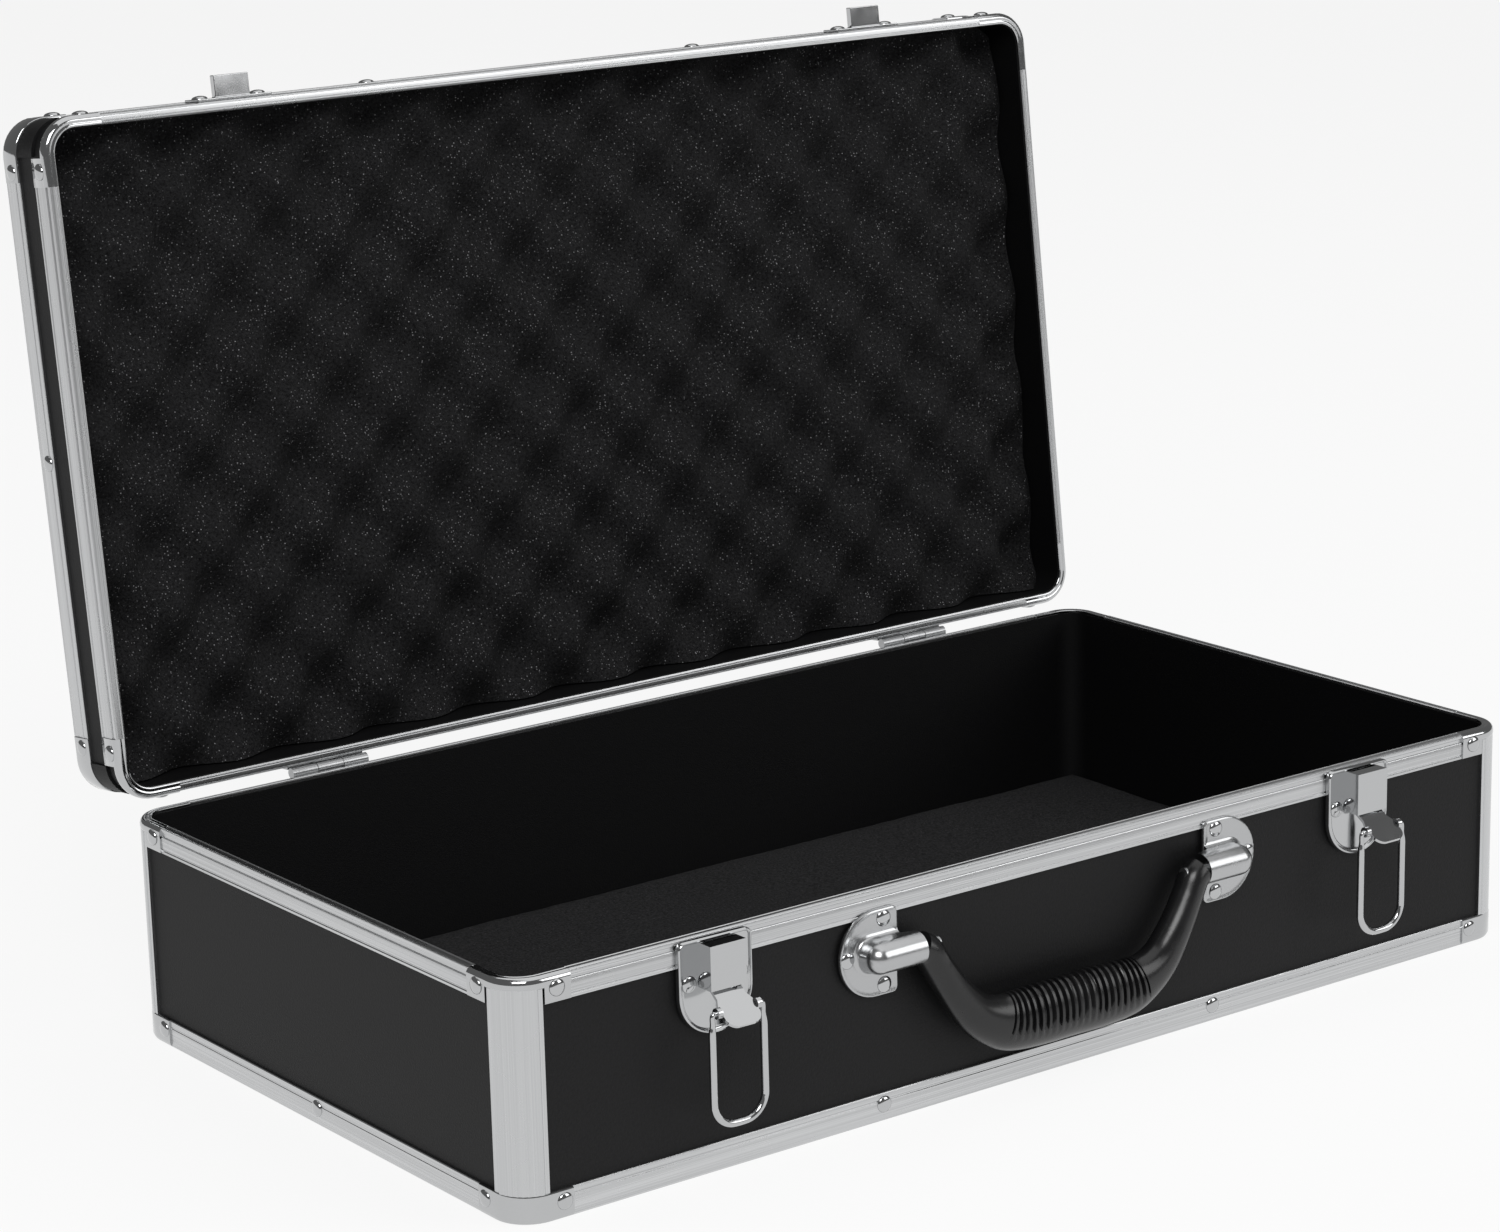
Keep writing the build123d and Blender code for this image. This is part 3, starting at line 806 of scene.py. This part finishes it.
def crate_surface(x, y):
    """Egg-crate foam: staggered round peaks with narrower hollows between them."""
    wave = cos(2 * pi * x / crate_pitch) * cos(2 * pi * (y + crate_shift) / crate_pitch)
    rise = (0.5 + 0.5 * wave) ** 0.85
    rough = uneven(x, y, 3.0, 0.06, 1.4) + uneven(x, y, 9.0, 0.4, 0.35)
    height = crate_low + (crate_high - crate_low - 1.6) * rise + rough
    return lid_foam_back - min(max(height, crate_low - 1.0), crate_high)


def floor_surface(x, y):
    """The floor pad: flat, a little uneven, drawn down over the last 6 mm to its edges."""
    inside = min(foam_half_x - abs(x), foam_half_y - abs(y))
    edge = max(0.0, 1.0 - inside / 6.0)
    rough = uneven(x, y, 1.0, 0.02, 0.7) + uneven(x, y, 5.0, 0.3, 0.2)
    return trim + board + floor_foam - 1.2 + rough - 1.5 * edge * edge


crate = show(
    "lid_egg_crate_foam", pad(lid_foam_back, crate_surface, 2.6), "lid",
    lid_foam_cells, ("lid_foam",), open_lid,
)
mat = show(
    "base_floor_pad", pad(floor_foam_back, floor_surface, 4.0), "base",
    pad_cells, ("base_floor_foam",),
)


# Handle grip

axis_out = 6.2
grip_drop = 38.4
grip_lean = 3.4
rib_half = 34.6
rib_pitch = 3.3
rib_rise = 0.15
groove_depth = 1.5


def smooth_line(points, steps):
    """A curve through points, each a tuple of numbers, with steps stations between them."""
    line = []
    last = len(points) - 1
    for i in range(last):
        before, start, end, after = (
            points[max(i - 1, 0)], points[i], points[i + 1], points[min(i + 2, last)]
        )
        for step in range(steps):
            t = step / steps
            line.append(tuple(
                0.5 * (
                    2 * b + (c - a) * t + (2 * a - 5 * b + 4 * c - d) * t * t
                    + (3 * b - a - 3 * c + d) * t ** 3
                )
                for a, b, c, d in zip(before, start, end, after)
            ))
    line.append(tuple(points[last]))
    return line


def tube(line, around, section):
    """A closed tube along a line of (x, y, z); section gives each ring's offsets by its angle."""
    rings = []
    last = len(line) - 1
    out = Vector((0, -1, 0))
    for i, place in enumerate(line):
        ahead = Vector(line[min(i + 1, last)]) - Vector(line[max(i - 1, 0)])
        across = out.cross(ahead).normalized()
        ring = []
        for k in range(around):
            forward, sideways = section(i, 2 * pi * k / around)
            ring.append(Vector(place) + out * forward + across * sideways)
        rings.append(ring)
    return capped(rings)


def share(value, start, width):
    """How far a value has come through a range, from 0 to 1."""
    return min(max((value - start) / width, 0.0), 1.0)


def grip_shape():
    """An oval hand bar with ribs that thins into two round legs, on one smooth line."""
    # x, drop below the pivots, half depth, half height
    half = (
        (0.0, 38.4, 8.2, 12.4), (16.0, 38.4, 8.2, 12.4), (30.0, 37.9, 8.0, 11.6),
        (39.0, 35.4, 7.6, 9.8), (46.5, 31.0, 7.2, 8.4), (52.8, 24.4, 6.9, 7.4),
        (58.6, 16.6, 6.6, 6.6), (63.6, 8.6, 6.4, 6.2), (67.2, 2.6, 6.3, 6.2), (71.1, 0.0, 5.9, 6.2),
    )
    points = [(-x, *rest) for x, *rest in half[:0:-1]] + list(half)
    line = smooth_line(points, 40)
    path = [
        (x, -half_depth - axis_out - grip_lean * drop / grip_drop, handle_axis_height - drop)
        for x, drop, deep, high in line
    ]

    def section(i, turn):
        x, drop, deep, high = line[i]
        rib = 0.0
        if abs(x) < rib_half:
            phase = abs((x / rib_pitch + 100.5) % 1.0 - 0.5) * 2
            rib = rib_rise - groove_depth * share(phase, 0.42, 0.2)
        # the ribs cover the front and the top of the bar and stop above its smooth lower edge
        cover = share(sin(turn), -0.34, 0.12)
        if cos(turn) < 0:
            cover *= max(1.0 + 2.5 * cos(turn), 0.0)
        return cos(turn) * (deep + rib * cover), sin(turn) * (high + rib * cover)

    return tube(path, 40, section)


show("handle_vinyl_grip", grip_shape(), "handle", vinyl, ("handle_grip",))


# Latch bails: bent wire, necked where its ends turn into the lever's ears

lever_pivot_out = 4.4
lever_pivot_height = 75.3
lever_arm = 13.0
bail_bend = 9.55
bend_x, bend_z = 2.0, -33.65
wire_radius = 1.45


def bail_shape(middle, lever_angle):
    """One bail, hung from the end of its lever, which leans down by an angle in degrees."""
    out = lever_pivot_out + lever_arm * cos(radians(lever_angle))
    up = lever_pivot_height - lever_arm * sin(radians(lever_angle))
    # x from the middle, z from the lever's end, wire radius
    half = [
        (8.3, 0.0, 1.0), (9.6, 0.0, 1.0), (10.9, -0.25, 1.0), (11.35, -1.5, 1.0),
        (11.3, -4.2, 1.05), (11.55, -7.6, 1.42), (11.55, -12.0, wire_radius),
        (11.55, -23.0, wire_radius),
    ]
    for step in range(7):
        turn = pi / 2 * step / 6
        half.append((bend_x + bail_bend * cos(turn), bend_z - bail_bend * sin(turn), wire_radius))
    points = [(-x, z, r) for x, z, r in half] + half[::-1]
    line = smooth_line(points, 8)
    path = [(middle + x, -half_depth - out, up + z) for x, z, r in line]

    def section(i, turn):
        return cos(turn) * line[i][2], sin(turn) * line[i][2]

    return tube(path, 20, section)


for side, middle, lever_angle in (("left", -latch_centre, 39.0), ("right", latch_centre, 33.0)):
    show(
        f"latch_wire_{side}", bail_shape(middle, lever_angle), f"bail_{side}", chrome,
        (f"latch_bail_{side}",),
    )


# Handle brackets: a pressed plate with a rolled rim, and a half-round boss that rises out of it

bracket_near = 77.5
bracket_far = 87.8
bracket_half = 17.0
boss_radius = 6.25
boss_lift = 6.2
boss_near = 71.5
boss_middle = 80.0
boss_far = 90.5
# its foot flares over the plate only, from here outwards
boss_foot_near = 77.7


def plate_ring(end, inset, out):
    """One ring of the bracket's D-shaped outline, drawn in by an inset."""
    near, half = bracket_near + inset, bracket_half - inset
    soft = max(2.5 - inset, 0.4)
    outline = []
    for up in (-1, 1):
        corner = []
        for step in range(5):
            turn = pi / 2 * step / 4
            corner.append((near + soft - soft * sin(turn), up * (half - soft + soft * cos(turn))))
        outline += corner if up < 0 else corner[::-1]
    for step in range(25):
        turn = pi * step / 24
        outline.append((bracket_far + half * sin(turn), half * cos(turn)))
    return [(end * x, -half_depth - out, handle_axis_height + z) for x, z in outline]


def boss_shape(end):
    """The boss: rings of one open stadium outline that closes in as it rises from the board."""
    # distance from the boss's middle line, and height out of the board
    rises = [(8.6, 0.6), (8.2, 1.25), (7.4, 1.5), (6.8, 2.1), (6.4, 3.2), (6.25, 4.6), (6.25, 6.2)]
    for step in range(1, 8):
        turn = pi / 2 * step / 8
        rises.append((boss_radius * cos(turn), boss_lift + boss_radius * sin(turn)))
    rises.append((0.15, boss_lift + boss_radius))
    rings = []
    for away, out in rises:
        stadium = [(boss_near, away), (boss_middle, away)]
        for step in range(21):
            turn = pi * step / 20
            stadium.append((boss_far + away * sin(turn), away * cos(turn)))
        stadium += [(boss_middle, -away), (boss_near, -away)]
        start = boss_foot_near if away > 6.3 else boss_near
        rings.append([
            (end * max(x, start), -half_depth - out, handle_axis_height + z) for x, z in stadium
        ])
    vertices, faces = ringed(rings, closed=False)
    count = len(rings[0])
    starts = [row * count for row in range(len(rings))]
    stops = [row * count + count - 1 for row in range(len(rings))]
    faces.append(tuple(starts + stops[::-1]))
    return vertices, faces + end_faces(rings)


def bracket_shape(end):
    """One bracket: its plate and its boss, at the left (-1) or right (1) end of the handle."""
    rolled = (
        (0.0, 0.05), (0.0, 0.9), (0.25, 1.35), (0.7, 1.55), (1.2, 1.45), (1.8, 1.2), (2.6, 1.2),
    )
    plate = capped([plate_ring(end, inset, out) for inset, out in rolled])
    return joined((plate, boss_shape(end)))


for side, end in (("left", -1), ("right", 1)):
    show(
        f"handle_pressed_bracket_{side}", bracket_shape(end), "base", satin_chrome,
        (f"handle_bracket_{side}",),
    )


# Latch plates: pressed tombstones whose edges are rolled forwards all round

latch_plate_half = 16.5
latch_plate_top = 91.5
latch_plate_round = 70.8


def tombstone_ring(middle, inset, out):
    """One ring of the plate's outline: a flat top with soft corners over a round foot."""
    half, top = latch_plate_half - inset, latch_plate_top - inset
    soft = max(3.0 - inset, 0.5)
    outline = []
    for side in (-1, 1):
        corner = []
        for step in range(6):
            turn = pi / 2 * step / 5
            corner.append((side * (half - soft + soft * cos(turn)), top - soft + soft * sin(turn)))
        outline += corner if side < 0 else corner[::-1]
    for step in range(33):
        turn = pi * step / 32
        outline.append((half * cos(turn), latch_plate_round - half * sin(turn)))
    return [(middle + x, -half_depth - out, z) for x, z in outline]


def latch_plate_shape(middle):
    """One latch plate, from its back edge round the rolled rim to its flat face."""
    rolled = (
        (0.0, 0.05), (0.0, 1.5), (0.15, 2.0), (0.5, 2.3), (0.9, 2.25), (1.25, 1.9), (1.5, 1.45),
        (2.0, 1.22), (2.8, 1.2),
    )
    return capped([tombstone_ring(middle, inset, out) for inset, out in rolled])


for side, middle in (("left", -latch_centre), ("right", latch_centre)):
    show(
        f"latch_rolled_plate_{side}", latch_plate_shape(middle), "base", chrome,
        (f"latch_plate_{side}",),
    )


# Pieces that keep their CAD shape, some with rounded edges

for side in ("left", "right"):
    softened(f"latch_housing_{side}", "base", chrome, 0.35)
    softened(f"latch_lever_{side}", f"lever_{side}", chrome, 0.3)
    softened(f"lid_keeper_{side}", "lid", chrome, 0.3)

for name, shown in frame["nodes"].items():
    if name.endswith("_panel") or name == "lid_corner_posts":
        dress = black_board
    elif "hinge" in name or "pin" in name:
        dress = zinc
    else:
        continue
    shown.data.materials.clear()
    shown.data.materials.append(dress)


# Setting: floor, backdrop, light and camera

def studio_floor():
    """A plain pale floor, wide enough to fill the view from any side."""
    reach = 40.0
    # most of the paper's white is its own light, and the rest still takes the case's shadow
    own_light = 0.88
    data = bpy.data.meshes.new("studio_floor")
    data.from_pydata(
        [(-reach, -reach, 0), (reach, -reach, 0), (reach, reach, 0), (-reach, reach, 0)], [],
        [(0, 1, 2, 3)],
    )
    floor = bpy.data.objects.new("studio_floor", data)
    bpy.context.collection.objects.link(floor)
    material, tree, shader = new_material("white_paper", "ececec", 0.0, 0.6)
    data.materials.append(material)
    light = put(tree, "ShaderNodeLightPath")
    direct = put(
        tree, "ShaderNodeMath",
        {0: light.outputs["Is Camera Ray"], 1: light.outputs["Is Glossy Ray"]},
        operation="MAXIMUM",
    )
    seen = put(
        tree, "ShaderNodeMath",
        {0: direct.outputs["Value"], 1: light.outputs["Is Transmission Ray"]},
        operation="MAXIMUM",
    )
    part = put(
        tree, "ShaderNodeMath", {0: seen.outputs["Value"]}, {1: own_light}, operation="MULTIPLY",
    )
    white = put(
        tree, "ShaderNodeEmission", values={"Color": linear("ffffff"), "Strength": 1.0},
    )
    mix = put(
        tree, "ShaderNodeMixShader",
        {0: part.outputs["Value"], 1: shader.outputs["BSDF"], 2: white.outputs["Emission"]},
    )
    tree.links.new(mix.outputs["Shader"], tree.nodes["Material Output"].inputs["Surface"])


def soft_light(name, place, size, power):
    """A large rectangular lamp that faces the case; its place is from the case's middle."""
    case_middle = Vector((0, 0, 0.1))
    lamp = bpy.data.lights.new(name, "AREA")
    lamp.energy = power
    lamp.shape = "RECTANGLE"
    lamp.size, lamp.size_y = size
    holder = bpy.data.objects.new(name, lamp)
    holder.location = Vector(place) + saved_origin
    holder.rotation_euler = (case_middle - Vector(place)).to_track_quat("-Z", "Y").to_euler()
    bpy.context.collection.objects.link(holder)


def studio_world():
    """A dim, even room, so that the soft lights stand out in the plating."""
    world = bpy.data.worlds.new("studio_world")
    bpy.context.scene.world = world
    world.use_nodes = True
    room = world.node_tree.nodes["Background"]
    room.inputs["Color"].default_value = linear("ffffff")
    room.inputs["Strength"].default_value = 0.16


def photo_camera():
    """A camera at the photograph's place, in the frame of the case."""
    place = Vector((-991.4, -1272.2, 567.2)) * MM + saved_origin
    yaw, pitch, roll = radians(36.278), radians(-15.363), radians(-1.52)
    ahead = Vector((sin(yaw) * cos(pitch), cos(yaw) * cos(pitch), sin(pitch)))
    right = Vector((cos(yaw), -sin(yaw), 0))
    up = right.cross(ahead)
    across = cos(roll) * right + sin(roll) * up
    upright = -sin(roll) * right + cos(roll) * up
    turn = Matrix((across, upright, -ahead)).transposed()
    data = bpy.data.cameras.new("photo_camera")
    data.sensor_width = 36.0
    data.lens = 99.09
    data.shift_x = 0.0225
    data.shift_y = 0.0521
    data.clip_end = 50.0
    camera = bpy.data.objects.new("photo_camera", data)
    camera.matrix_world = Matrix.Translation(place) @ turn.to_4x4()
    bpy.context.collection.objects.link(camera)
    bpy.context.scene.camera = camera


studio_floor()
studio_world()
photo_camera()
soft_light("key", (-1.6, -2.0, 2.4), (1.8, 1.4), 60.0)
soft_light("fill", (1.8, -2.2, 1.4), (1.6, 1.6), 22.0)
soft_light("top", (0.6, 0.1, 2.4), (3.6, 2.4), 26.0)

scene = bpy.context.scene
scene.view_settings.view_transform = "Standard"
